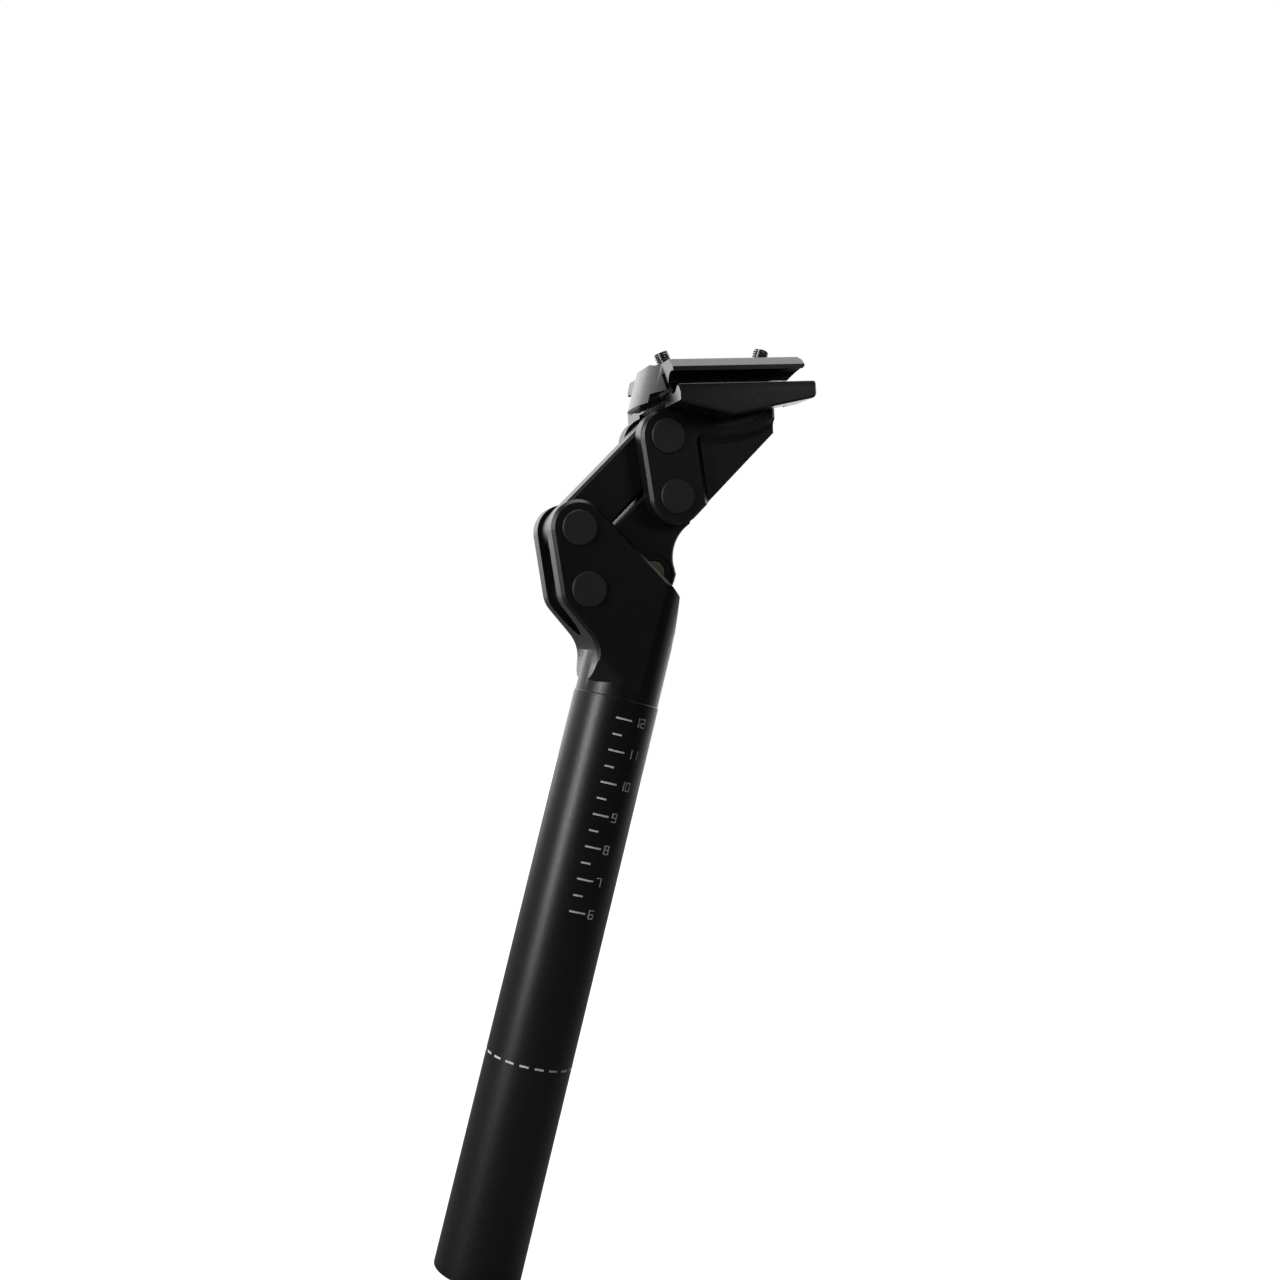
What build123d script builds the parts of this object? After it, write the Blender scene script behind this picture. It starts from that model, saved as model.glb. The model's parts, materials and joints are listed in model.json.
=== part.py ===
"""Suspension seatpost: a parallelogram linkage on a round post, with a two-bolt saddle clamp.

Frame: the origin is the centre of the tube's bottom end, +Z runs up the tube's axis, +X points
forward on the bicycle and +Y to the rider's left. Lengths are millimetres and angles are degrees.
Side views are drawn with x forward and y up, on the plane of symmetry.
"""
from build123d import *
from math import cos, radians, sin, sqrt, tan
import os

# Post
tube_diameter = 27.2
tube_wall = 2.4
post_length = 227.0          # bottom end up to the upper post pivot
clevis_reach = 27.8          # tube axis forward to the upper post pivot
clevis_top_slope = 30.3      # fall of the clevis's top edge towards the rear
clevis_chin_slope = 35.2     # fall of the clevis's front lower edge towards the tube
clevis_rear_lean = 11.0      # lean of the trimmed corner at the clevis's top rear
clevis_rear_set = 4.0        # the top rear corner stands this far inside the tube's line
neck_fillet = 11.0           # curve where the clevis's front edge meets the tube
neck_set = 1.4               # the neck's front edge ends this deep inside the tube
flat_foot_up = 186.9         # lowest point of the clevis's side flats
flat_foot_forward = 2.5
flat_foot_slope = 33.0       # the flats' lower edge rises towards the front
neck_round = 8.0             # the neck's sides close in on the tube over this radius
flat_runout_radius = 14.0    # the flats run out of the tube's sides on this radius
tube_below_slot = 2.0        # round tube ends this far below the slot between the ears
insert_length = 180.0        # the tube is at its full size this far up
neck_relief = 0.3            # above that it is this much smaller in radius

# Linkage
pivot_spacing = 18.8         # lower to upper pivot, on the post and on the head alike
pivot_lean = -23.5           # lean of a pivot pair; negative leans forward
link_length = 40.5
link_lean = 30.0             # lean of both links at rest
ear_radius = 8.7
body_width = 26.0            # over the ears of the clevis and of the head
slot_width = 12.6            # between the ears
link_thickness = 10.8
upper_link_height = 15.0
lower_link_height = 13.4
edge_break = 1.0             # chamfer round the ears and links
link_edge_break = 0.7
suspension_swing = 50.0      # swing of both links over the full travel
swing_gap = 0.6              # room round what swings inside the head and the lower link
waist_radius = 13.0          # hollow at the back of the lower link
waist_back = 5.0             # its deepest point, behind the roller pin
waist_drop = 2.2             # and below the middle between that pin and the head's pivot
flare_offset = (-8.6, -5.4)  # the back's top corner, from the lower head pivot
boss_arm_height = 8.0

# Pivots
axle_diameter = 8.0
bush_wall = 1.5
bush_flange = 0.75
bush_flange_width = 2.4
bush_flange_inset = 0.3      # flange inside the link's end
running_gap = 0.05           # radial clearance of every turning fit
screw_diameter = 5.0
screw_head_diameter = 9.6
screw_head_height = 1.4
screw_reach = 7.0
cap_diameter = 11.0
cap_height = 0.9
cap_plug_depth = 1.0
cap_edge_break = 0.3
cap_seat_gap = 0.2           # radial room round the screw heads and the caps' plugs
screw_socket_size = 3.0
screw_socket_depth = 0.9
bush_gap = 0.8               # between the two bushes inside a link

# Thrust roller, plunger and springs
boss_back = 20.6             # lower post pivot back to the roller pin
boss_up = 10.8
boss_radius = 7.7
roller_diameter = 16.4
roller_width = 5.2
roller_side_gap = 0.3
roller_pin_diameter = 8.4
boss_recess_diameter = 12.8
boss_recess_depth = 0.5
roller_gap = 0.15            # roller to plunger tip at rest
roller_edge_break = 0.4
plunger_stem_diameter = 10.0
plunger_stem_length = 28.0
plunger_tip_break = 1.2
piston_length = 18.0
piston_gap = 0.3             # piston to bore, filled by the wear rings
wear_ring_inset = 2.0
wear_ring_height = 3.0
wear_ring_depth = 1.2
retaining_ring_thickness = 1.2
retaining_ring_width = 2.2
retaining_ring_split = 5.0
retaining_groove_depth = 0.8
top_out_thickness = 1.8
top_out_width = 2.6
top_out_gap = 0.3
main_wire = 3.4
main_coils = 17
inner_wire = 1.8
inner_coils = 27
inner_spring_diameter = 11.0
spring_grind = 0.15          # share of the wire ground away at each end
sleeve_wall = 0.5
sleeve_fit = 0.1
sleeve_ends = (14.0, 26.0)   # spring left bare below and above its sleeve
spring_clearance = 0.6

# Preload plug
plug_recess = 8.0
plug_height = 18.0
plug_socket_size = 10.0
plug_socket_depth = 9.0
plug_edge_break = 0.5
seal_ring_height = 2.0
seal_ring_depth = 1.0
seal_ring_inset = 2.0
spring_seat_thickness = 3.0

# Head
tail_length = 38.4           # head's rear edge, parallel to the links
tail_lip_lean = -17.0
tail_lip_length = 16.0
seat_radius = 28.0           # cylindrical seat that the rail cradle tilts on
seat_shell = 4.0
flank_depth = 2.6            # hollow in the outside of each ear
flank_rim = 2.3              # rim left along the seat
flank_front_gap = 0.9        # hollow to the upper ear's edge
flank_corner = 3.0
flank_floor_round = 1.6
flank_taper = 38.0

# Saddle clamp, drawn square to the rails: x back along them, y up from their axis
rail_diameter = 7.0
rail_spacing = 44.0
rail_tilt = 18.65
datum_back = 0.95            # upper head pivot to the clamp's datum on the rail axis
datum_up = 15.0
seat_centre_back = 18.2
seat_centre_up = 15.4
cradle_front = -1.4
cradle_rear = 43.8
channel_width = 9.2
channel_lip = -1.2
channel_inner_lip = -2.3
channel_edge = (0.5, 2.4)    # bevel along the outer wall's top: width and height
channel_under_break = 0.6
cradle_end_depth = 6.3
cradle_keel_depth = 10.9
cradle_keel_back = 16.0
cradle_rear_round = 1.8
channel_top_round = 0.9
belly_rear = 39.0
relief_end = 3.0             # hollow under each channel
relief_depth = 0.8
relief_keel_depth = 4.5
cradle_side_gap = 0.3        # cradle to the head's ears
pocket_front = 13.5          # lightening pocket in the cradle's top
pocket_rear = 27.0
pocket_width = 28.0
pocket_depth = 6.2
clamp_front = -1.6
clamp_rear = 41.6
clamp_width = 47.2
clamp_top = 7.2
clamp_plate_thickness = 3.4
clamp_bevel = (3.0, 2.7)     # bevel along each wing: width and height
clamp_leg_bottom = 0.3
clamp_rear_break = 1.0
clamp_rear_slope = 3.9       # the legs end this far before the plate does
leg_width = 5.1
leg_draft = 1.1
hood_half_width = 18.0
hood_front_radius = 38.0     # plan radius of the hood's front
hood_ahead = 17.6            # tube axis to the middle of the hood's front
hood_crown_radius = 30.0     # the hood's raised middle is part of a cylinder
hood_crown = 1.6             # height of that crown over the plate
hood_back = 9.0
hood_round = 3.2
hood_front_gap = 0.8
hood_shoulder = -1.7         # the hood's wide part ends here
hood_tongue_width = 22.0
hood_bottom = -4.3

# Clamp bolts
bolt_diameter = 5.0
bolt_splay = 20.0
bolt_tip_up = 13.1
bolt_tips_back = {"front": 2.8, "rear": 37.5}
bolt_hole_gap = 0.3
bolt_tip_break = 0.6
bolt_head_diameter = 7.4
bolt_head_height = 4.5
bolt_socket_size = 4.0
bolt_socket_depth = 2.5
barrel_nut_diameter = 8.0
barrel_nut_length = 16.0
barrel_nut_up = 1.2
washer_width = 11.0
washer_half_height = 3.7
washer_blank = 10.0
washer_land = 0.7            # washer left at its thin side
tilt_limit = 4.0

# Worked-out sizes
tube_radius = tube_diameter / 2
bore_radius = tube_radius - tube_wall
half_body = body_width / 2
half_slot = slot_width / 2
half_link = link_thickness / 2
axle_radius = axle_diameter / 2
bush_bore_radius = axle_radius + running_gap
bush_radius = bush_bore_radius + bush_wall
axle_half_length = half_body - cap_plug_depth - screw_head_height
seat_shell_radius = seat_radius + seat_shell
far = 4 * body_width         # reach of a cutter that has to pass right through


def leaning(length, lean):
    """Side-view step that rises by length while leaning back from the tube's axis."""
    return Vector(-length * sin(radians(lean)), length * cos(radians(lean)))


upper_post_pivot = Vector(clevis_reach, post_length)
lower_post_pivot = upper_post_pivot - leaning(pivot_spacing, pivot_lean)
upper_head_pivot = upper_post_pivot + leaning(link_length, link_lean)
lower_head_pivot = lower_post_pivot + leaning(link_length, link_lean)
roller_centre = lower_post_pivot + Vector(-boss_back, boss_up)

rail_back = Vector(-cos(radians(rail_tilt)), sin(radians(rail_tilt)))
rail_up = Vector(sin(radians(rail_tilt)), cos(radians(rail_tilt)))
clamp_datum = upper_head_pivot + rail_back * datum_back + rail_up * datum_up
seat_centre = clamp_datum + rail_back * seat_centre_back + rail_up * seat_centre_up

clamp_side = Plane(
    origin=(clamp_datum.X, 0, clamp_datum.Y),
    x_dir=(rail_back.X, 0, rail_back.Y),
    z_dir=(0, 1, 0),
)
clamp_end = Plane(
    origin=(clamp_datum.X, 0, clamp_datum.Y),
    x_dir=(0, -1, 0),
    z_dir=(rail_back.X, 0, rail_back.Y),
)

slot_floor = lower_post_pivot.Y - lower_link_height
roller_bottom = roller_centre.Y - roller_diameter / 2
plunger_tip = roller_bottom - roller_gap
piston_top = plunger_tip - plunger_stem_length
piston_bottom = piston_top - piston_length
plug_top = plug_recess + plug_height
spring_foot = plug_top + spring_seat_thickness
bore_top = slot_floor + half_slot / 2


def disc(centre, radius):
    return Pos(centre.X, centre.Y) * Circle(radius)


def polygon(*points):
    corners = [(Vector(*point).X, Vector(*point).Y) for point in points]
    return make_face(Polyline(*corners, close=True))


def side_solid(sketch, half_width):
    """Solid of a side view, to the same depth on both sides of the plane of symmetry."""
    return extrude(Plane.XZ * sketch, half_width, both=True)


def clamp_solid(sketch, half_width):
    """The same in the clamp's own frame."""
    return extrude(clamp_side * sketch, half_width, both=True)


def cross_bar(centre, radius, low, high):
    """Round bar along Y at a side-view point, from Y = low to Y = high."""
    start = Plane(origin=(centre.X, low, centre.Y), z_dir=(0, 1, 0))
    return extrude(start * Circle(radius), high - low)


def both_sides(solid):
    return [solid, solid.mirror(Plane.XZ)]


def tube_ring(outer, inner, bottom, top):
    return Pos(0, 0, bottom) * extrude(Circle(outer) - Circle(inner), top - bottom)


def tube_disc(radius, bottom, top):
    return Pos(0, 0, bottom) * extrude(Circle(radius), top - bottom)


def forward_of(lean):
    """Unit side-view step square to a leaning edge, pointing forward."""
    return Vector(cos(radians(lean)), sin(radians(lean)))


def outline_edges(solid, width):
    """Edges round both flat side faces of a solid that is width across."""
    return [
        edge for edge in solid.edges()
        if abs(abs(edge.center().Y) - width / 2) < 0.01 and abs(edge.bounding_box().size.Y) < 0.01
    ]


def ear_screw_holes(pivot):
    """Axle hole through both ears, counterbored for the screw heads and caps."""
    hole = cross_bar(pivot, axle_radius, -far, far)
    recess = cross_bar(pivot, screw_head_diameter / 2 + cap_seat_gap, axle_half_length, far)
    return [hole] + both_sides(recess)


def clevis_outline():
    """Side view of the clevis, down to well inside the tube."""
    ear_front = forward_of(pivot_lean) * ear_radius
    top_fall = Vector(-cos(radians(clevis_top_slope)), -sin(radians(clevis_top_slope)))
    top_start = upper_post_pivot + Vector(top_fall.Y, -top_fall.X) * ear_radius
    rear_top_x = clevis_rear_set - tube_radius
    rear_top = top_start + top_fall * ((rear_top_x - top_start.X) / top_fall.X)
    rear_foot = Vector(-tube_radius, rear_top.Y - clevis_rear_set / tan(radians(clevis_rear_lean)))
    chin_fall = Vector(-cos(radians(clevis_chin_slope)), -sin(radians(clevis_chin_slope)))
    chin_start = lower_post_pivot + Vector(-chin_fall.Y, chin_fall.X) * ear_radius
    neck = chin_start + chin_fall * ((tube_radius - neck_set - chin_start.X) / chin_fall.X)
    foot_height = flat_foot_up - tube_radius
    web = polygon(
        upper_post_pivot + ear_front, lower_post_pivot + ear_front, lower_post_pivot, chin_start, neck,
        (neck.X, foot_height), (-tube_radius, foot_height), rear_foot, rear_top, top_start, upper_post_pivot,
    )
    corner = web.vertices().sort_by_distance((neck.X, neck.Y, 0))[0]
    web = fillet(corner, neck_fillet)
    return disc(upper_post_pivot, ear_radius) + disc(lower_post_pivot, ear_radius) + web


def neck_sides():
    """Cutters that round the clevis's sides in to the tube, below a sloping edge on each flat."""
    slope = radians(flat_foot_slope)
    start = Plane(
        origin=(flat_foot_forward, 0, flat_foot_up),
        x_dir=(sin(slope), 0, -cos(slope)),
        z_dir=(cos(slope), 0, sin(slope)),
    )
    edge = (0, half_body)
    inner = (neck_round, half_body - neck_round)
    outline = JernArc(start=edge, tangent=(1, 0), radius=neck_round, arc_size=-90)
    outline += Polyline(inner, (far, half_body - neck_round), (far, far), (0, far), edge)
    return both_sides(extrude(start * make_face(outline), far, both=True))


def flat_runouts():
    """Cutters that carry the clevis's side flats over the tube and fade them out below."""
    depth = abs(tube_radius - half_body)
    fade = sqrt(2 * flat_runout_radius * depth)
    sketch = Pos(far / 2 - fade, half_body + far / 2) * Rectangle(far, far)
    sketch -= Pos(0, half_body + flat_runout_radius) * Rectangle(4 * fade, 2 * flat_runout_radius)
    sketch += Pos(0, half_body + flat_runout_radius) * Circle(flat_runout_radius)
    sketch += Pos(far / 2, half_body + far / 2) * Rectangle(far, far)
    start = Plane(origin=(0, 0, flat_foot_up), x_dir=(0, 0, 1), z_dir=(-1, 0, 0))
    return both_sides(extrude(start * sketch, far, both=True))


def post_tube():
    clevis = side_solid(clevis_outline(), half_body)
    clevis = chamfer(outline_edges(clevis, body_width), edge_break)
    neck_radius = tube_radius - neck_relief
    plan = Circle(neck_radius) + Pos(far / 2, 0) * Rectangle(far, body_width)
    clevis &= extrude(plan, post_length + far)
    clevis -= neck_sides()
    insert_top = insert_length - neck_relief
    body = tube_disc(neck_radius, 0, slot_floor - tube_below_slot) + clevis
    body += tube_disc(tube_radius, 0, insert_top)
    body += Pos(0, 0, insert_top) * extrude(Circle(tube_radius), neck_relief, taper=45)
    body -= flat_runouts()
    slot = Pos(0, slot_floor + half_slot) * Circle(half_slot)
    slot += Pos(0, slot_floor + half_slot + far / 2) * Rectangle(slot_width, far)
    body -= extrude(Plane.YZ * slot, far, both=True)
    body -= tube_disc(bore_radius, 0, bore_top)
    groove_bottom = piston_top + top_out_gap + top_out_thickness
    groove_radius = bore_radius + retaining_groove_depth
    body -= tube_disc(groove_radius, groove_bottom, groove_bottom + retaining_ring_thickness)
    for pivot in (upper_post_pivot, lower_post_pivot):
        body -= ear_screw_holes(pivot)
    return body


def pivot_axle(pivot):
    axle = cross_bar(pivot, axle_radius, -axle_half_length, axle_half_length)
    hole = cross_bar(pivot, screw_diameter / 2, axle_half_length - screw_reach, axle_half_length)
    return axle - both_sides(hole)


def pivot_screw(pivot):
    """Low-headed screw in the left end of an axle."""
    head_top = axle_half_length + screw_head_height
    screw = cross_bar(pivot, screw_diameter / 2, axle_half_length - screw_reach, axle_half_length)
    screw += cross_bar(pivot, screw_head_diameter / 2, axle_half_length, head_top)
    hexagon = RegularPolygon(screw_socket_size / 2, 6, major_radius=False)
    socket = Plane(origin=(pivot.X, head_top, pivot.Y), z_dir=(0, -1, 0)) * hexagon
    return screw - extrude(socket, screw_socket_depth)


def pivot_cap(pivot):
    """Flat cap that plugs the counterbore on the left side and stands proud of it."""
    plug = cross_bar(pivot, screw_head_diameter / 2 + cap_seat_gap, half_body - cap_plug_depth, half_body)
    face = cross_bar(pivot, cap_diameter / 2, half_body, half_body + cap_height)
    rim = face.edges().sort_by(Axis.Y)[-1]
    return plug + chamfer(rim, cap_edge_break)


def link_bush(pivot, end_radius):
    """Flanged bush pressed into the left side of a link's end."""
    sleeve = cross_bar(pivot, bush_radius, bush_gap / 2, half_link)
    flange_radius = min(bush_radius + bush_flange_width, end_radius - bush_flange_inset)
    flange = cross_bar(pivot, flange_radius, half_link, half_link + bush_flange)
    return sleeve + flange - cross_bar(pivot, bush_bore_radius, 0, far)


def bar_between(start, end, half_height):
    along = (end - start).normalized()
    up = Vector(-along.Y, along.X) * half_height
    return polygon(start + up, end + up, end - up, start - up)


def upper_link():
    half_height = upper_link_height / 2
    outline = bar_between(upper_post_pivot, upper_head_pivot, half_height)
    outline += disc(upper_post_pivot, half_height) + disc(upper_head_pivot, half_height)
    link = side_solid(outline, half_link)
    link = chamfer(outline_edges(link, link_thickness), edge_break)
    for pivot in (upper_post_pivot, upper_head_pivot):
        link -= cross_bar(pivot, bush_radius, -far, far)
    return link


def lower_link():
    """Bell crank: a bar between its pivots and a forked boss that reaches over the tube."""
    half_height = lower_link_height / 2
    waist_height = (roller_centre.Y + lower_head_pivot.Y) / 2 - waist_drop
    hollow = disc(Vector(roller_centre.X - waist_back - waist_radius, waist_height), waist_radius)
    flare = lower_head_pivot + Vector(*flare_offset)
    outline = bar_between(lower_post_pivot, lower_head_pivot, half_height)
    outline += disc(lower_post_pivot, half_height) + disc(lower_head_pivot, half_height)
    outline += disc(roller_centre, boss_radius)
    outline += bar_between(roller_centre, lower_post_pivot, boss_arm_height / 2)
    outline += polygon(roller_centre, lower_post_pivot, lower_head_pivot)
    back = polygon(
        roller_centre, (roller_centre.X - boss_radius, roller_centre.Y), flare,
        (flare.X, lower_head_pivot.Y), lower_head_pivot,
    )
    outline += back - hollow
    link = side_solid(outline, half_link)
    link = chamfer(outline_edges(link, link_thickness), link_edge_break)
    for pivot in (lower_post_pivot, lower_head_pivot):
        link -= cross_bar(pivot, bush_radius, -far, far)
    link -= cross_bar(roller_centre, roller_pin_diameter / 2, -far, far)
    link -= both_sides(cross_bar(roller_centre, boss_recess_diameter / 2, half_link - boss_recess_depth, far))
    fork = roller_width / 2 + roller_side_gap
    return link - cross_bar(roller_centre, roller_diameter / 2 + swing_gap, -fork, fork)


def roller_pin():
    half_length = half_link - boss_recess_depth / 2
    pin = cross_bar(roller_centre, roller_pin_diameter / 2, -half_length, half_length)
    return chamfer(pin.edges().filter_by(GeomType.CIRCLE), cap_edge_break)


def thrust_roller():
    half = roller_width / 2
    roller = cross_bar(roller_centre, roller_diameter / 2, -half, half)
    roller = chamfer(roller.edges().filter_by(GeomType.CIRCLE), roller_edge_break)
    return roller - cross_bar(roller_centre, roller_pin_diameter / 2 + running_gap, -far, far)


def wear_ring_bottoms():
    return (piston_bottom + wear_ring_inset, piston_top - wear_ring_inset - wear_ring_height)


def plunger():
    piston_radius = bore_radius - piston_gap
    body = tube_disc(piston_radius, piston_bottom, piston_top)
    stem = tube_disc(plunger_stem_diameter / 2, piston_top, plunger_tip)
    tip_edge = stem.edges().sort_by(Axis.Z)[-1]
    body += chamfer(tip_edge, plunger_tip_break)
    for bottom in wear_ring_bottoms():
        body -= tube_ring(far, piston_radius - wear_ring_depth, bottom, bottom + wear_ring_height)
    return body


def plunger_wear_rings():
    inner = bore_radius - piston_gap - wear_ring_depth
    return [
        tube_ring(bore_radius - running_gap, inner, bottom, bottom + wear_ring_height)
        for bottom in wear_ring_bottoms()
    ]


def retaining_ring():
    """Split ring sprung into a groove above the plunger."""
    outer = bore_radius + retaining_groove_depth
    bottom = piston_top + top_out_gap + top_out_thickness
    ring = tube_ring(outer, outer - retaining_ring_width, bottom, bottom + retaining_ring_thickness)
    return ring - Pos(-outer, 0, bottom) * Box(3 * retaining_ring_width, retaining_ring_split, far)


def top_out_ring():
    bottom = piston_top + top_out_gap
    outer = bore_radius - piston_gap
    return tube_ring(outer, outer - top_out_width, bottom, bottom + top_out_thickness)


def coil_spring(mean_radius, wire, coils):
    """Helical spring with both ends ground flat on its seats."""
    ground = wire * spring_grind
    height = piston_bottom - spring_foot + 2 * ground
    pitch = (height - wire) / coils
    path = Helix(pitch, height - wire, mean_radius)
    start = Plane(origin=path @ 0, z_dir=path % 0)
    coil = Pos(0, 0, spring_foot - ground + wire / 2) * sweep(start * Circle(wire / 2), path=path)
    return coil & tube_disc(far, spring_foot, piston_bottom)


def main_spring():
    mean_radius = bore_radius - sleeve_fit - sleeve_wall - spring_clearance - main_wire / 2
    return coil_spring(mean_radius, main_wire, main_coils)


def inner_spring():
    return coil_spring((inner_spring_diameter - inner_wire) / 2, inner_wire, inner_coils)


def spring_sleeve():
    bare_below, bare_above = sleeve_ends
    outer = bore_radius - sleeve_fit
    return tube_ring(outer, outer - sleeve_wall, spring_foot + bare_below, piston_bottom - bare_above)


def preload_plug():
    """Threaded plug with a hex socket in its lower face and a groove for its seal."""
    radius = bore_radius - running_gap
    plug = tube_disc(radius, plug_recess, plug_top)
    plug = chamfer(plug.edges().filter_by(GeomType.CIRCLE), plug_edge_break)
    socket = Pos(0, 0, plug_recess) * RegularPolygon(plug_socket_size / 2, 6, major_radius=False)
    plug -= extrude(socket, plug_socket_depth)
    groove = plug_top - seal_ring_inset - seal_ring_height
    plug -= tube_ring(far, radius - seal_ring_depth, groove, groove + seal_ring_height)
    return plug


def plug_seal_ring():
    radius = bore_radius - running_gap
    bottom = plug_top - seal_ring_inset - seal_ring_height
    return tube_ring(radius, radius - seal_ring_depth, bottom, bottom + seal_ring_height)


def spring_seat():
    seat = tube_disc(bore_radius - piston_gap, plug_top, spring_foot)
    return chamfer(seat.edges().filter_by(GeomType.CIRCLE), plug_edge_break)


def bolt_plane(end, depth):
    """Plane square to a clamp bolt, its normal pointing down the bolt, depth below the tip."""
    inward = 1 if end == "front" else -1
    down = Vector(inward * sin(radians(bolt_splay)), -cos(radians(bolt_splay)))
    point = Vector(bolt_tips_back[end], bolt_tip_up) + down * depth
    origin = clamp_side.from_local_coords((point.X, point.Y, 0))
    tip = clamp_side.from_local_coords((point.X + down.X, point.Y + down.Y, 0))
    return Plane(origin=origin, x_dir=(0, 1, 0), z_dir=tip - origin)


def depth_to_radius(end, radius, offset=0.0):
    """Depth below a bolt's tip at which a line beside it crosses a circle about the seat's centre."""
    inward = 1 if end == "front" else -1
    splay = radians(bolt_splay)
    start_x = bolt_tips_back[end] - seat_centre_back + offset * cos(splay)
    start_y = bolt_tip_up - seat_centre_up + inward * offset * sin(splay)
    along = start_x * inward * sin(splay) - start_y * cos(splay)
    return -along + sqrt(along ** 2 - start_x ** 2 - start_y ** 2 + radius ** 2)


def washer_base_depth(end):
    """Depth of the flat face that a bolt's head bears on."""
    edges = (-washer_half_height, washer_half_height)
    return washer_land + max(depth_to_radius(end, seat_shell_radius, edge) for edge in edges)


def clamp_bolt(end):
    base = washer_base_depth(end)
    bolt = extrude(bolt_plane(end, 0) * Circle(bolt_diameter / 2), base)
    tip_edge = bolt.edges().filter_by(GeomType.CIRCLE).sort_by(Axis.Z)[-1]
    bolt = chamfer(tip_edge, bolt_tip_break)
    bolt += extrude(bolt_plane(end, base) * Circle(bolt_head_diameter / 2), bolt_head_height)
    socket_floor = base + bolt_head_height - bolt_socket_depth
    socket = bolt_plane(end, socket_floor) * RegularPolygon(bolt_socket_size / 2, 6, major_radius=False)
    return bolt - extrude(socket, far)


def clamp_saddle_washers():
    """Wedge under each bolt's head, curved on top to slide on the underside of the seat."""
    washers = []
    for end in bolt_tips_back:
        base = washer_base_depth(end)
        washer = bolt_plane(end, base) * Rectangle(washer_width, 2 * washer_half_height)
        washer = extrude(washer, -washer_blank)
        washer -= cross_bar(seat_centre, seat_shell_radius + running_gap, -far, far)
        washer -= extrude(bolt_plane(end, 0) * Circle(bolt_diameter / 2), far)
        washers.append(washer)
    return washers


def barrel_nut_centre(end):
    inward = 1 if end == "front" else -1
    back = bolt_tips_back[end] + inward * (bolt_tip_up - barrel_nut_up) * tan(radians(bolt_splay))
    return clamp_datum + rail_back * back + rail_up * barrel_nut_up


def clamp_barrel_nuts():
    nuts = []
    for end in bolt_tips_back:
        half = barrel_nut_length / 2
        nut = cross_bar(barrel_nut_centre(end), barrel_nut_diameter / 2, -half, half)
        nuts.append(nut - extrude(bolt_plane(end, 0) * Circle(bolt_diameter / 2), far))
    return nuts


def head_outline():
    """Side view of the head before its seat is cut."""
    ear_front = forward_of(pivot_lean) * ear_radius
    tail_start = lower_head_pivot - forward_of(link_lean) * ear_radius
    tail = tail_start + leaning(tail_length, link_lean)
    tail_top = tail + leaning(tail_lip_length, tail_lip_lean)
    outline = polygon(
        upper_head_pivot + ear_front, lower_head_pivot + ear_front, lower_head_pivot, tail_start,
        tail, tail_top, (upper_head_pivot.X, tail_top.Y), upper_head_pivot,
    )
    return outline + disc(upper_head_pivot, ear_radius) + disc(lower_head_pivot, ear_radius)


def flank_hollow():
    """Shallow hollow in the left ear, behind the pivots and under the seat's rim."""
    front = upper_head_pivot - forward_of(pivot_lean) * (ear_radius + flank_front_gap)
    foot = lower_head_pivot - forward_of(pivot_lean) * ear_radius
    top = front + leaning(far, pivot_lean)
    foot += leaning(-ear_radius, pivot_lean)
    sketch = polygon(top, foot, (foot.X - far, foot.Y), (foot.X - far, top.Y))
    sketch -= disc(seat_centre, seat_radius + flank_rim)
    corner = sketch.vertices().sort_by_distance((front.X, front.Y, 0))[0]
    sketch = fillet(corner, flank_corner)
    start = Plane(origin=(0, half_body, 0), x_dir=(1, 0, 0), z_dir=(0, -1, 0))
    hollow = extrude(start * sketch, flank_depth, taper=flank_taper)
    floor = hollow.faces().sort_by(Axis.Y)[0]
    return fillet(floor.edges(), flank_floor_round)


def head():
    body = side_solid(head_outline(), half_body)
    body = chamfer(outline_edges(body, body_width), edge_break)
    body -= cross_bar(seat_centre, seat_radius, -far, far)
    slot = side_solid(Pos(0, upper_head_pivot.Y) * Rectangle(3 * far, 3 * far), half_slot)
    slot -= cross_bar(seat_centre, seat_shell_radius, -far, far)
    body -= slot
    swung_end = upper_head_pivot - leaning(link_length, link_lean + suspension_swing)
    swept = bar_between(upper_head_pivot, swung_end, upper_link_height / 2 + swing_gap)
    swept += disc(upper_head_pivot, upper_link_height / 2 + swing_gap)
    body -= side_solid(swept, half_slot)
    hole_width = bolt_diameter + 2 * bolt_hole_gap
    hole = SlotOverall(hole_width + 2 * seat_shell_radius * tan(radians(tilt_limit)), hole_width, rotation=90)
    for end in bolt_tips_back:
        start = depth_to_radius(end, seat_radius) - bolt_diameter
        body -= extrude(bolt_plane(end, start) * hole, seat_shell + 2 * bolt_diameter)
    body -= both_sides(flank_hollow())
    for pivot in (upper_head_pivot, lower_head_pivot):
        body -= ear_screw_holes(pivot)
    return body


def bolt_holes():
    """Clearance holes for both clamp bolts."""
    radius = bolt_diameter / 2 + bolt_hole_gap
    return [extrude(bolt_plane(end, -5.0) * Circle(radius), far) for end in bolt_tips_back]


def rail_bores():
    """Both saddle rails, as cutters that run past the clamp."""
    start = clamp_end.offset(-far)
    rails = [Pos(side * rail_spacing / 2, 0) * Circle(rail_diameter / 2) for side in (-1, 1)]
    return [extrude(start * rail, 3 * far) for rail in rails]


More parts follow.
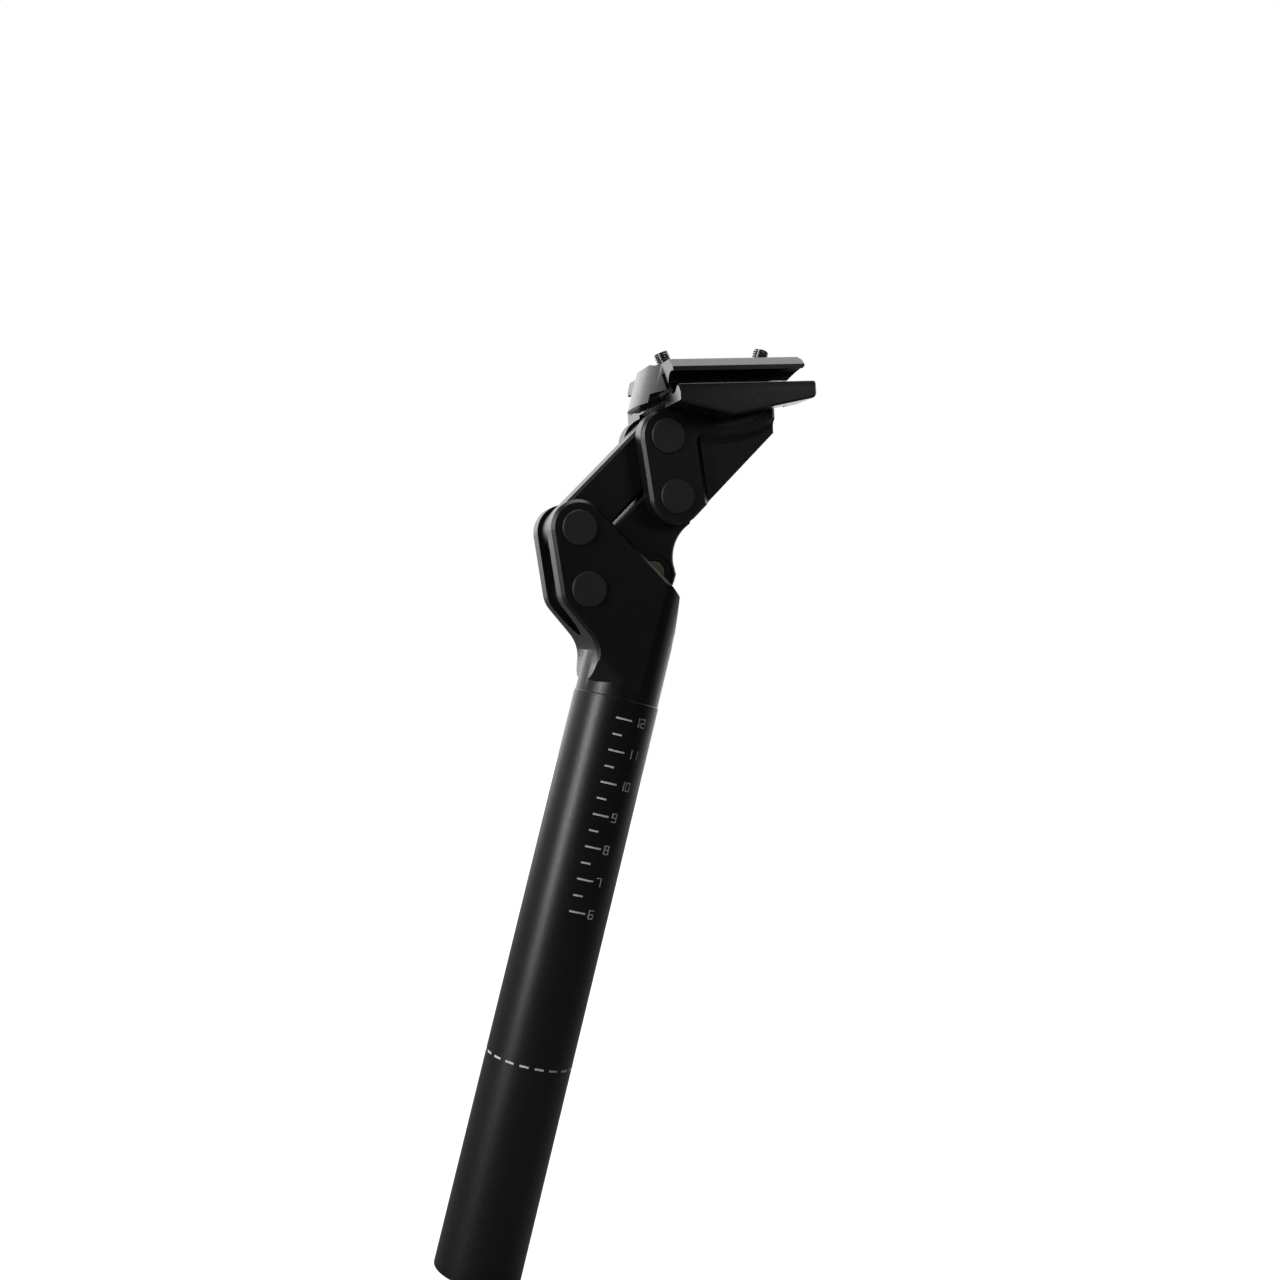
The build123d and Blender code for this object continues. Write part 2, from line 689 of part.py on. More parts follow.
def lower_cradle():
    """V-keeled cradle: a U channel for each rail and a round belly that sits in the head."""
    keel = polygon(
        (cradle_front, channel_lip), (cradle_rear, channel_lip), (cradle_rear, -cradle_end_depth),
        (cradle_keel_back, -cradle_keel_depth), (cradle_front, -cradle_end_depth),
    )
    rear_corner = keel.vertices().sort_by_distance((cradle_rear, -cradle_end_depth, 0))[0]
    keel = fillet(rear_corner, cradle_rear_round)
    top_corners = keel.vertices().sort_by(Axis.Y)[-2:]
    keel = fillet(top_corners, channel_top_round)
    half_outer = (rail_spacing + channel_width) / 2
    half_inner = (rail_spacing - channel_width) / 2
    bevel_width, bevel_height = channel_edge
    end_view = polygon(
        (half_outer - bevel_width, channel_lip), (half_outer, channel_lip - bevel_height),
        (half_outer, -far), (-half_outer, -far),
        (-half_outer, channel_lip - bevel_height), (bevel_width - half_outer, channel_lip),
    )
    body = clamp_solid(keel, half_outer)
    bevel_foot = channel_lip - bevel_height
    lower_edges = [edge for edge in outline_edges(body, 2 * half_outer) if clamp_height(edge) < bevel_foot]
    body = chamfer(lower_edges, channel_under_break)
    body &= extrude(clamp_end.offset(-far) * end_view, 3 * far)
    top_middle = Pos(cradle_keel_back, channel_inner_lip + far / 2) * Rectangle(3 * far, far)
    body -= clamp_solid(top_middle, rail_spacing / 2)
    above_seat = clamp_solid(Rectangle(3 * far, 3 * far), half_body + cradle_side_gap)
    above_seat -= cross_bar(seat_centre, seat_radius - running_gap, -far, far)
    body -= above_seat
    belly = Pos(seat_centre_back, seat_centre_up) * Circle(seat_radius - running_gap)
    belly &= polygon(
        (cradle_front, channel_inner_lip), (belly_rear, channel_inner_lip),
        (belly_rear, -far), (cradle_front, -far),
    )
    body += clamp_solid(belly, half_body - cradle_side_gap)
    pocket = Rectangle(pocket_rear - pocket_front, 2 * pocket_depth)
    pocket_middle = Pos((pocket_front + pocket_rear) / 2, channel_inner_lip)
    body -= clamp_solid(pocket_middle * pocket, pocket_width / 2)
    relief_front = cradle_front + relief_end
    relief_rear = cradle_rear - 2 * relief_end
    relief_top = relief_depth - cradle_end_depth
    relief = polygon(
        (relief_front, -far), (relief_rear, -far), (relief_rear, relief_top),
        (cradle_keel_back, relief_keel_depth - cradle_keel_depth), (relief_front, relief_top),
    )
    body -= clamp_solid(relief, half_inner) - clamp_solid(relief, half_body + cradle_side_gap)
    body -= rail_bores()
    reach = barrel_nut_length / 2 + bolt_hole_gap
    for end in bolt_tips_back:
        body -= cross_bar(barrel_nut_centre(end), barrel_nut_diameter / 2 + bolt_hole_gap, -reach, reach)
    return body - bolt_holes()


def clamp_height(edge):
    """Height of an edge's middle over the rails' axis."""
    return clamp_side.to_local_coords(edge.center()).Y


def clamp_section():
    """Upper clamp seen along the rails: a flat plate with a leg inside each rail."""
    bevel_width, bevel_height = clamp_bevel
    half_rail = rail_spacing / 2
    rail_radius = rail_diameter / 2
    half_width = clamp_width / 2
    wing_lip = sqrt(rail_radius ** 2 - (half_width - half_rail) ** 2)
    half = [
        (half_width - bevel_width, clamp_top), (half_width, clamp_top - bevel_height), (half_width, wing_lip),
        (half_rail, clamp_leg_bottom), (half_rail - leg_width, clamp_leg_bottom),
        (half_rail - leg_width - leg_draft, clamp_top - clamp_plate_thickness),
    ]
    mirrored = [(-x, y) for x, y in reversed(half)]
    return polygon(*half, *mirrored)


def clamp_hood():
    """Hood over the front of the cradle: bowed in plan, with a raised middle and a narrower tongue."""
    fall = tan(radians(rail_tilt))
    wall = clamp_side.to_local_coords((hood_ahead, 0, clamp_datum.Y))
    inside = cradle_front - hood_front_gap
    under_plate = clamp_top - clamp_plate_thickness

    def front_at(up):
        return wall.X + fall * (up - wall.Y)

    def side_view(top):
        outline = polygon(
            (hood_back, under_plate), (hood_back, clamp_top), (hood_back / 2, top), (front_at(top), top),
            (front_at(hood_bottom), hood_bottom), (inside, hood_bottom), (inside, under_plate),
        )
        brow = outline.vertices().sort_by_distance((front_at(top), top, 0))[0]
        return fillet(brow, hood_round)

    crown_top = clamp_top + hood_crown
    wide = clamp_solid(side_view(clamp_top), hood_half_width)
    crown = clamp_solid(side_view(crown_top), hood_half_width)
    crown_round = Pos(0, crown_top - hood_crown_radius) * Circle(hood_crown_radius)
    crown &= extrude(clamp_end.offset(-far) * crown_round, 3 * far)
    hood = wide + crown
    hood &= Pos(hood_ahead - hood_front_radius, 0) * extrude(Circle(hood_front_radius), post_length + 2 * far)
    shoulder = polygon((-far, -far), (-far, hood_shoulder), (far, hood_shoulder), (far, -far))
    return hood - (clamp_solid(shoulder, far) - clamp_solid(shoulder, hood_tongue_width / 2))


def upper_clamp():
    """Plate that grips both rails from above, with a hood at its front."""
    plate = extrude(clamp_end.offset(clamp_front - 1) * clamp_section(), clamp_rear - clamp_front + 2)
    rear_fall = clamp_rear - clamp_rear_slope
    side = polygon(
        (clamp_front, clamp_top), (clamp_rear - clamp_rear_break, clamp_top),
        (clamp_rear, clamp_top - clamp_rear_break), (clamp_rear, clamp_top - clamp_plate_thickness),
        (rear_fall, clamp_leg_bottom), (rear_fall, -far), (clamp_front, -far),
    )
    body = plate & clamp_solid(side, clamp_width)
    body += clamp_hood()
    body -= rail_bores()
    half = barrel_nut_length / 2
    for end in bolt_tips_back:
        body -= cross_bar(barrel_nut_centre(end), barrel_nut_diameter / 2, -half, half)
    return body - bolt_holes()


def group(solids):
    return Compound(children=[solid if isinstance(solid, Solid) else solid.solids()[0] for solid in solids])


def pivot_set(maker, pivots):
    """The same piece on both sides of each pivot, as separate solids."""
    return group([piece for pivot in pivots for piece in both_sides(maker(pivot).solids()[0])])


post_pivots = (upper_post_pivot, lower_post_pivot)
head_pivots = (upper_head_pivot, lower_head_pivot)

nodes = {
    "post_tube": post_tube(),
    "upper_post_axle": pivot_axle(upper_post_pivot),
    "lower_post_axle": pivot_axle(lower_post_pivot),
    "post_pivot_screws": pivot_set(pivot_screw, post_pivots),
    "post_pivot_caps": pivot_set(pivot_cap, post_pivots),
    "retaining_ring": retaining_ring(),
    "top_out_ring": top_out_ring(),
    "spring_sleeve": spring_sleeve(),
    "main_spring": main_spring(),
    "inner_spring": inner_spring(),
    "preload_plug": preload_plug(),
    "plug_seal_ring": plug_seal_ring(),
    "spring_seat": spring_seat(),
    "plunger": plunger(),
    "plunger_wear_rings": group(plunger_wear_rings()),
    "lower_link": lower_link(),
    "roller_pin": roller_pin(),
    "thrust_roller": thrust_roller(),
    "upper_link": upper_link(),
    "head": head(),
    "upper_head_axle": pivot_axle(upper_head_pivot),
    "lower_head_axle": pivot_axle(lower_head_pivot),
    "head_pivot_screws": pivot_set(pivot_screw, head_pivots),
    "head_pivot_caps": pivot_set(pivot_cap, head_pivots),
    "lower_cradle": lower_cradle(),
    "upper_clamp": upper_clamp(),
    "front_clamp_bolt": clamp_bolt("front"),
    "rear_clamp_bolt": clamp_bolt("rear"),
    "clamp_barrel_nuts": group(clamp_barrel_nuts()),
    "clamp_saddle_washers": group(clamp_saddle_washers()),
}
link_ends = {
    "upper_link_post_bushes": (upper_post_pivot, upper_link_height),
    "upper_link_head_bushes": (upper_head_pivot, upper_link_height),
    "lower_link_post_bushes": (lower_post_pivot, lower_link_height),
    "lower_link_head_bushes": (lower_head_pivot, lower_link_height),
}
for name, (pivot, height) in link_ends.items():
    nodes[name] = group(both_sides(link_bush(pivot, height / 2).solids()[0]))

os.makedirs("parts", exist_ok=True)
for name, shape in nodes.items():
    export_step(shape, f"parts/{name}.step")
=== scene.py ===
"""Finishes and fine detail for a packed suspension seatpost, laid out as a Blender add-on."""

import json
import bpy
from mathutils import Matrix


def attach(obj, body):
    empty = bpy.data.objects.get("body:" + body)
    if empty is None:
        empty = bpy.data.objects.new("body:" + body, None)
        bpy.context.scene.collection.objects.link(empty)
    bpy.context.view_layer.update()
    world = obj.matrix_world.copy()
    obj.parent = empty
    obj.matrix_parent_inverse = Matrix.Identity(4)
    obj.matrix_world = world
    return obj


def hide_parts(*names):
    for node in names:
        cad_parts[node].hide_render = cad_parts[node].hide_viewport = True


bl_info = {
    "name": "Suspension seatpost finish",
    "version": (1, 0, 0),
    "blender": (4, 5, 0),
    "location": "View3D > Sidebar > Seatpost",
    "description": "Dresses a packed suspension seatpost with its finishes, threads and marks",
    "category": "Object",
}

from math import cos, pi, radians, sin

import bmesh
import bpy
from bpy.props import FloatProperty, FloatVectorProperty, IntProperty, PointerProperty
from mathutils import Matrix, Vector

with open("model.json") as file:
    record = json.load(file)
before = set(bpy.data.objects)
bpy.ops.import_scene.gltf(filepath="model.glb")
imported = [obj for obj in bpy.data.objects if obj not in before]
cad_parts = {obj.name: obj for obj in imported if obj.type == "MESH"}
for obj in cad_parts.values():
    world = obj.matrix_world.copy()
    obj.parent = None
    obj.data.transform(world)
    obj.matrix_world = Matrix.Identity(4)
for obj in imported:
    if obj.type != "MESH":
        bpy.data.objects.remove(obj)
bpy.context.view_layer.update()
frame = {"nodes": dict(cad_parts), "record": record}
NODES = frame["nodes"]
RECORD = frame["record"]
MOUNTS = {mount["name"]: mount for mount in RECORD["mounts"]}
BODY_OF = {node: body for body, nodes in RECORD["behaviour"]["bodies"].items() for node in nodes}
SLOT_OF = {part["node"]: part["material_slot"] for part in RECORD["subparts"]}
MM = 0.001

TUBE_RADIUS = MOUNTS["seat_tube_insert"]["dims"]["r_mm"] * MM
MERGE_GAP = 2e-6
RAIL_CLAMP = MOUNTS["left_rail_clamp"]
RAIL_BACK = Vector(RAIL_CLAMP["axis"])
RAIL_UP = Vector((RAIL_BACK.z, 0, -RAIL_BACK.x))
RAIL_MIDDLE = Vector((RAIL_CLAMP["pos_m"][0], 0, RAIL_CLAMP["pos_m"][2]))
# Bolt tips: height over the rails, then place along them and lean (1 back, -1 forward) going down.
BOLT_TIP_UP = 13.1 * MM
BOLT_TIPS = {"front_clamp_bolt": (-18.3 * MM, 1), "rear_clamp_bolt": (16.4 * MM, -1)}
BOLT_SPLAY = radians(20)
BOLT_RADIUS = 2.5 * MM
SHANK_SLACK = 0.05 * MM
WALL_SLACK = 0.02 * MM
CHAMFER = 0.1 * MM
BARE_SHANK = 1.5 * MM
HIDDEN_SHARE = 0.98
THREAD_STEEPNESS = 1.35
THREAD_FLAT = 0.1
RUN_IN_START = 0.55
RUN_IN_RATE = 0.9

# Printed marks, in the arc length round the tube; labels count centimetres from LABEL_OFFSET up.
LONG_TICK = 5.2 * MM
SHORT_TICK = 3.0 * MM
TICK_FRONT = 2.6 * MM
TICK_TALL = 0.55 * MM
FIRST_DIGIT = -4.6 * MM
DIGIT_STEP = 2.4 * MM
LABEL_OFFSET = 5
DIGIT_HALF_WIDTH = 0.75 * MM
DIGIT_HALF_TALL = 1.25 * MM
DIGIT_LINE = 0.34 * MM
DASH_SHARE = 0.6
DASH_TALL = 0.6 * MM


class SeatpostFinish(bpy.types.PropertyGroup):
    anodised_colour: FloatVectorProperty(
        name="Anodised colour", description="Black of the post, links and head", subtype="COLOR",
        size=3, default=(0.0045, 0.0045, 0.0048), min=0, max=1)
    anodised_roughness: FloatProperty(
        name="Anodised roughness", description="Sheen of the bead-blasted black", subtype="FACTOR",
        default=0.36, min=0, max=1)
    clamp_colour: FloatVectorProperty(
        name="Clamp colour", description="Gloss black of the saddle clamp", subtype="COLOR",
        size=3, default=(0.004, 0.004, 0.0042), min=0, max=1)
    clamp_roughness: FloatProperty(
        name="Clamp roughness", description="Gloss of the saddle clamp", subtype="FACTOR",
        default=0.27, min=0, max=1)
    cap_colour: FloatVectorProperty(
        name="Cap colour", description="Dark grey of the pivot caps", subtype="COLOR",
        size=3, default=(0.019, 0.019, 0.0205), min=0, max=1)
    mark_colour: FloatVectorProperty(
        name="Mark colour", description="Warm pale print of the height scale", subtype="COLOR",
        size=3, default=(0.78, 0.70, 0.62), min=0, max=1)
    grain: FloatProperty(
        name="Blast grain", description="Size of the blasted texture", unit="LENGTH",
        default=0.00022, min=0.00005, max=0.002, precision=6)


class SeatpostDetail(bpy.types.PropertyGroup):
    edge_round: FloatProperty(
        name="Edge rounding", description="Rounding of machined edges", unit="LENGTH",
        default=0.00028, min=0, max=0.001, precision=6)
    smooth_angle: FloatProperty(
        name="Smooth angle", description="Edges flatter than this are shaded smooth", subtype="ANGLE",
        default=radians(28))
    thread_pitch: FloatProperty(
        name="Thread pitch", description="Pitch of the clamp bolts", unit="LENGTH",
        default=0.0008, min=0.0003, max=0.002, precision=6)
    thread_steps: IntProperty(
        name="Thread steps", description="Steps to one turn of thread", default=28, min=8, max=96)
    thread_rows: IntProperty(
        name="Thread rows", description="Rows of faces along one pitch", default=6, min=4, max=16)
    thread_depth: FloatProperty(
        name="Thread depth", description="Depth of the clamp bolts' thread", unit="LENGTH",
        default=0.00046, min=0.0001, max=0.001, precision=6)
    mark_bottom: FloatProperty(
        name="Scale bottom", description="Height of the scale's lowest mark", unit="LENGTH", default=0.114)
    mark_step: FloatProperty(
        name="Mark step", description="Distance between marks of the height scale", unit="LENGTH",
        default=0.005, min=0.001, max=0.02, precision=5)
    mark_count: IntProperty(
        name="Mark count", description="Marks of the height scale", default=13, min=1, max=40)
    mark_thickness: FloatProperty(
        name="Mark thickness", description="Thickness of the printed marks", unit="LENGTH",
        default=0.00004, min=0.00001, max=0.0003, precision=6)
    insert_line: FloatProperty(
        name="Insertion line", description="Height of the dashed least-insertion line", unit="LENGTH",
        default=0.066)
    insert_dashes: IntProperty(
        name="Insertion dashes", description="Dashes of the least-insertion line", default=18, min=6, max=60)


class SeatpostStage(bpy.types.PropertyGroup):
    aim_height: FloatProperty(
        name="Aim height", description="Height of the point that the camera looks at", unit="LENGTH",
        default=0.1997)
    aim_forward: FloatProperty(
        name="Aim forward", description="Forward place of that point", unit="LENGTH", default=-0.0030)
    azimuth: FloatProperty(
        name="Azimuth", description="Camera's direction round the post", subtype="ANGLE",
        default=radians(163.15))
    elevation: FloatProperty(
        name="Elevation", description="Camera's height angle", subtype="ANGLE", default=radians(-3.99))
    roll: FloatProperty(
        name="Roll", description="Tilt of the camera about its own axis", subtype="ANGLE",
        default=radians(13.64))
    distance: FloatProperty(
        name="Distance", description="Camera to the aimed point", unit="LENGTH", default=0.42785)
    lens: FloatProperty(name="Lens", description="Focal length in millimetres", default=37.97)
    floor_radius: FloatProperty(
        name="Floor radius", description="Radius of the round floor", unit="LENGTH", default=6.0)


def link_object(name, mesh):
    piece = bpy.data.objects.new(name, mesh)
    bpy.context.scene.collection.objects.link(piece)
    return piece


def finished(name, bm, material, body, smooth=radians(28)):
    """Turn a bmesh into a piece that rides on a body."""
    bmesh.ops.recalc_face_normals(bm, faces=bm.faces)
    mesh = bpy.data.meshes.new(name)
    bm.to_mesh(mesh)
    bm.free()
    for face in mesh.polygons:
        face.use_smooth = True
    mesh.set_sharp_from_angle(angle=smooth)
    mesh.materials.append(material)
    piece = link_object(name, mesh)
    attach(piece, body)
    return piece


def new_material(name):
    """A material with its tree cleared down to a Principled shader and its output."""
    material = bpy.data.materials.new(name)
    material.use_nodes = True
    tree = material.node_tree
    tree.nodes.clear()
    shader = tree.nodes.new("ShaderNodeBsdfPrincipled")
    output = tree.nodes.new("ShaderNodeOutputMaterial")
    tree.links.new(shader.outputs["BSDF"], output.inputs["Surface"])
    return material, tree, shader


def noise(tree, scale, detail=2.0, roughness=0.5, stretch=(1, 1, 1)):
    """Noise on Object coordinates, stretched along the axes."""
    place = tree.nodes.new("ShaderNodeTexCoord")
    mapping = tree.nodes.new("ShaderNodeMapping")
    mapping.inputs["Scale"].default_value = stretch
    texture = tree.nodes.new("ShaderNodeTexNoise")
    texture.inputs["Scale"].default_value = scale
    texture.inputs["Detail"].default_value = detail
    texture.inputs["Roughness"].default_value = roughness
    tree.links.new(place.outputs["Object"], mapping.inputs["Vector"])
    tree.links.new(mapping.outputs["Vector"], texture.inputs["Vector"])
    return texture.outputs["Fac"]


def ramp(tree, factor, low, high, start=0.3, end=0.7):
    """Map a factor between two values or two colours."""
    if isinstance(low, float):
        node = tree.nodes.new("ShaderNodeMapRange")
        node.inputs["From Min"].default_value = start
        node.inputs["From Max"].default_value = end
        node.inputs["To Min"].default_value = low
        node.inputs["To Max"].default_value = high
        tree.links.new(factor, node.inputs["Value"])
        return node.outputs["Result"]
    node = tree.nodes.new("ShaderNodeValToRGB")
    node.color_ramp.elements[0].position = start
    node.color_ramp.elements[1].position = end
    node.color_ramp.elements[0].color = (*low, 1)
    node.color_ramp.elements[1].color = (*high, 1)
    tree.links.new(factor, node.inputs["Fac"])
    return node.outputs["Color"]


def bump(tree, shader, height, distance):
    node = tree.nodes.new("ShaderNodeBump")
    node.inputs["Strength"].default_value = 1.0
    node.inputs["Distance"].default_value = distance
    tree.links.new(height, node.inputs["Height"])
    tree.links.new(node.outputs["Normal"], shader.inputs["Normal"])


CLOUD_SCALE = 60.0


def tint(colour, share):
    return tuple(min(1.0, channel * share) for channel in colour)


def surface(name, colour, roughness, metallic, grain, grain_depth, spread, vary,
            specular=0.5, coat=0.0, coat_roughness=0.1, stretch=(1, 1, 1)):
    """One finish: mottled colour, uneven sheen and a fine grain that catches the light."""
    material, tree, shader = new_material(name)
    clouds = noise(tree, CLOUD_SCALE, 4.0, 0.6)
    fine = noise(tree, 0.5 / grain, 2.0, 0.6, stretch)
    mottled = ramp(tree, clouds, tint(colour, 1 - vary), tint(colour, 1 + vary))
    sheen = ramp(tree, fine, roughness - spread, roughness + spread, 0.25, 0.75)
    tree.links.new(mottled, shader.inputs["Base Color"])
    tree.links.new(sheen, shader.inputs["Roughness"])
    shader.inputs["Metallic"].default_value = metallic
    shader.inputs["Specular IOR Level"].default_value = specular
    shader.inputs["Coat Weight"].default_value = coat
    shader.inputs["Coat Roughness"].default_value = coat_roughness
    bump(tree, shader, fine, grain_depth)
    return material


def anodised_black():
    finish = bpy.context.scene.seatpost_finish
    return surface("anodised_black", finish.anodised_colour, finish.anodised_roughness, 0.0,
                   finish.grain, 0.00003, 0.08, 0.3, specular=0.5)


def clamp_black():
    finish = bpy.context.scene.seatpost_finish
    return surface("clamp_black", finish.clamp_colour, finish.clamp_roughness, 0.0,
                   0.0006, 0.000008, 0.05, 0.2, specular=0.5, coat=0.1, coat_roughness=0.15)


def pivot_cap_grey():
    finish = bpy.context.scene.seatpost_finish
    return surface("pivot_cap", finish.cap_colour, 0.46, 0.0, 0.00018, 0.00001, 0.06, 0.15, specular=0.55)


def bolt_steel():
    return surface("bolt_steel", (0.30, 0.30, 0.31), 0.28, 1.0, 0.0003, 0.000004, 0.08, 0.15)


def ground_steel():
    return surface("ground_steel", (0.52, 0.52, 0.53), 0.24, 1.0, 0.00015, 0.000002, 0.07, 0.08,
                   stretch=(1, 6, 1))


def sintered_bronze():
    return surface("sintered_bronze", (0.30, 0.245, 0.17), 0.34, 1.0, 0.0003, 0.000006, 0.08, 0.2)


def black_oxide():
    return surface("black_oxide", (0.03, 0.03, 0.032), 0.36, 0.6, 0.0004, 0.000006, 0.08, 0.25)


def spring_wire():
    return surface("spring_wire", (0.16, 0.16, 0.17), 0.30, 1.0, 0.0004, 0.000004, 0.1, 0.2)


def turned_alloy():
    return surface("turned_alloy", (0.50, 0.50, 0.51), 0.32, 1.0, 0.0004, 0.000004, 0.06, 0.08,
                   stretch=(1, 1, 8))


def guide_polymer():
    return surface("guide_polymer", (0.11, 0.11, 0.11), 0.5, 0.0, 0.0006, 0.000008, 0.06, 0.1)


def soft_rubber():
    return surface("soft_rubber", (0.022, 0.022, 0.022), 0.68, 0.0, 0.0005, 0.00001, 0.08, 0.2, specular=0.35)


def pale_print():
    finish = bpy.context.scene.seatpost_finish
    return surface("pale_print", finish.mark_colour, 0.5, 0.0, 0.0003, 0.000003, 0.06, 0.05)


FINISHES = {
    "anodised_black": anodised_black,
    "pivot_cap": pivot_cap_grey,
    "clamp_black": clamp_black,
    "bolt_steel": bolt_steel,
    "ground_steel": ground_steel,
    "bronze": sintered_bronze,
    "barrel_steel": black_oxide,
    "spring_steel": spring_wire,
    "alloy_plain": turned_alloy,
    "polymer": guide_polymer,
    "rubber": soft_rubber,
    "pale_print": pale_print,
}


def finish_of(slot):
    """The material of a slot, made once."""
    found = bpy.data.materials.get("finish_" + slot)
    if found is None:
        found = FINISHES[slot]()
        found.name = "finish_" + slot
    return found


def rounded_copy(node, edge_round):
    """Merge a CAD node's triangles and round its sharp edges; the copy stands for the node."""
    detail = bpy.context.scene.seatpost_detail
    bm = bmesh.new()
    bm.from_mesh(NODES[node].data)
    bmesh.ops.remove_doubles(bm, verts=bm.verts, dist=MERGE_GAP)
    bmesh.ops.dissolve_degenerate(bm, dist=MERGE_GAP, edges=bm.edges)
    bmesh.ops.dissolve_limit(bm, angle_limit=radians(0.4), verts=bm.verts, edges=bm.edges)
    sharp = [
        edge for edge in bm.edges
        if len(edge.link_faces) == 2 and edge.calc_face_angle(0) > detail.smooth_angle]
    bmesh.ops.bevel(bm, geom=sharp, offset=edge_round, offset_type="OFFSET", segments=2, profile=0.5,
                    affect="EDGES", clamp_overlap=True, material=-1)
    piece = finished(node + "_finished", bm, finish_of(SLOT_OF[node]), BODY_OF[node])
    weighted = piece.modifiers.new("Weighted normals", "WEIGHTED_NORMAL")
    weighted.keep_sharp = True
    weighted.weight = 60
    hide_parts(node)


class SEATPOST_OT_machined(bpy.types.Operator):
    """Round the edges of the post, links, head, clamp, caps, washers and pin"""
    bl_idname = "seatpost.machined"
    bl_label = "Machined pieces"

    def execute(self, context):
        edge_round = context.scene.seatpost_detail.edge_round
        for node in ("post_tube", "upper_link", "lower_link", "head", "lower_cradle", "upper_clamp",
                     "post_pivot_caps", "head_pivot_caps", "clamp_saddle_washers", "roller_pin"):
            rounded_copy(node, edge_round)
        return {"FINISHED"}


class SEATPOST_OT_plain_finishes(bpy.types.Operator):
    """Give every carried-over piece its finish"""
    bl_idname = "seatpost.plain_finishes"
    bl_label = "Small pieces"

    def execute(self, context):
        for node, piece in NODES.items():
            piece.data.materials.clear()
            piece.data.materials.append(finish_of(SLOT_OF[node]))
        return {"FINISHED"}


class SEATPOST_OT_clamp_bolts(bpy.types.Operator):
    """Cut the threads of both clamp bolts"""
    bl_idname = "seatpost.clamp_bolts"
    bl_label = "Clamp bolts"

    def execute(self, context):
        for node, (back, inward) in BOLT_TIPS.items():
            threaded_bolt(node, back, inward)
        return {"FINISHED"}


class SEATPOST_OT_marks(bpy.types.Operator):
    """Print the height scale and the least-insertion line on the tube"""
    bl_idname = "seatpost.marks"
    bl_label = "Printed marks"

    def execute(self, context):
        height_scale()
        insertion_line()
        return {"FINISHED"}


def threaded_bolt(node, back, inward):
    """Narrow a bolt's shank to the thread's root and wrap a thread round it."""
    detail = bpy.context.scene.seatpost_detail
    tip = RAIL_MIDDLE + RAIL_BACK * back + RAIL_UP * BOLT_TIP_UP
    down = RAIL_BACK * (inward * sin(BOLT_SPLAY)) - RAIL_UP * cos(BOLT_SPLAY)
    root = BOLT_RADIUS - detail.thread_depth
    bm = bmesh.new()
    bm.from_mesh(NODES[node].data)
    bmesh.ops.remove_doubles(bm, verts=bm.verts, dist=MERGE_GAP)
    shoulder = 0.0
    for vert in bm.verts:
        depth = (vert.co - tip).dot(down)
        out = vert.co - tip - down * depth
        if abs(out.length - BOLT_RADIUS) < WALL_SLACK:
            shoulder = max(shoulder, depth)
    for vert in bm.verts:
        depth = (vert.co - tip).dot(down)
        out = vert.co - tip - down * depth
        if depth < shoulder + CHAMFER and root < out.length < BOLT_RADIUS + SHANK_SLACK:
            vert.co = tip + down * depth + out * (HIDDEN_SHARE * root / out.length)
    turns = (shoulder - BARE_SHANK) / detail.thread_pitch
    made = bmesh.ops.create_grid(
        bm, x_segments=round(turns * detail.thread_rows), y_segments=detail.thread_steps, size=0.5)["verts"]
    across = Vector((0, 1, 0))
    beside = down.cross(across)
    for vert in made:
        along = vert.co.x + 0.5
        turn = vert.co.y + 0.5
        depth = CHAMFER + along * turns * detail.thread_pitch
        phase = (along * turns + turn) % 1.0
        crest = min(1.0, max(0.0, THREAD_STEEPNESS * abs(2 * phase - 1) - THREAD_FLAT))
        radius = root + detail.thread_depth * crest
        turns_from_end = min(along, 1 - along) * turns
        run_in = min(1.0, RUN_IN_START + turns_from_end * RUN_IN_RATE)
        radius = min(radius, root + (BOLT_RADIUS - root) * run_in)
        angle = 2 * pi * turn
        vert.co = tip + down * depth + (across * cos(angle) + beside * sin(angle)) * radius
    bmesh.ops.remove_doubles(bm, verts=made, dist=1e-6)
    ends = [edge for edge in bm.edges if edge.is_boundary]
    bmesh.ops.holes_fill(bm, edges=ends, sides=0)
    piece = finished(node + "_finished", bm, finish_of(SLOT_OF[node]), BODY_OF[node])
    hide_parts(node)


def printed_bar(bm, across, height, width, tall):
    """A thin bar wrapped on the tube's left side; across runs forward from the middle."""
    detail = bpy.context.scene.seatpost_detail
    made = bmesh.ops.create_grid(bm, x_segments=8, y_segments=1, size=0.5)
    face_set = list({face for vert in made["verts"] for face in vert.link_faces})
    for vert in made["verts"]:
        angle = (across + vert.co.x * width) / TUBE_RADIUS
        vert.co = Vector((
            sin(angle) * TUBE_RADIUS, cos(angle) * TUBE_RADIUS, height + vert.co.y * tall))
    raised = bmesh.ops.extrude_face_region(bm, geom=face_set)
    out = [item for item in raised["geom"] if isinstance(item, bmesh.types.BMVert)]
    for vert in out:
        flat = Vector((vert.co.x, vert.co.y, 0)).normalized()
        vert.co += flat * detail.mark_thickness
    for vert in made["verts"]:
        flat = Vector((vert.co.x, vert.co.y, 0)).normalized()
        vert.co -= flat * detail.mark_thickness


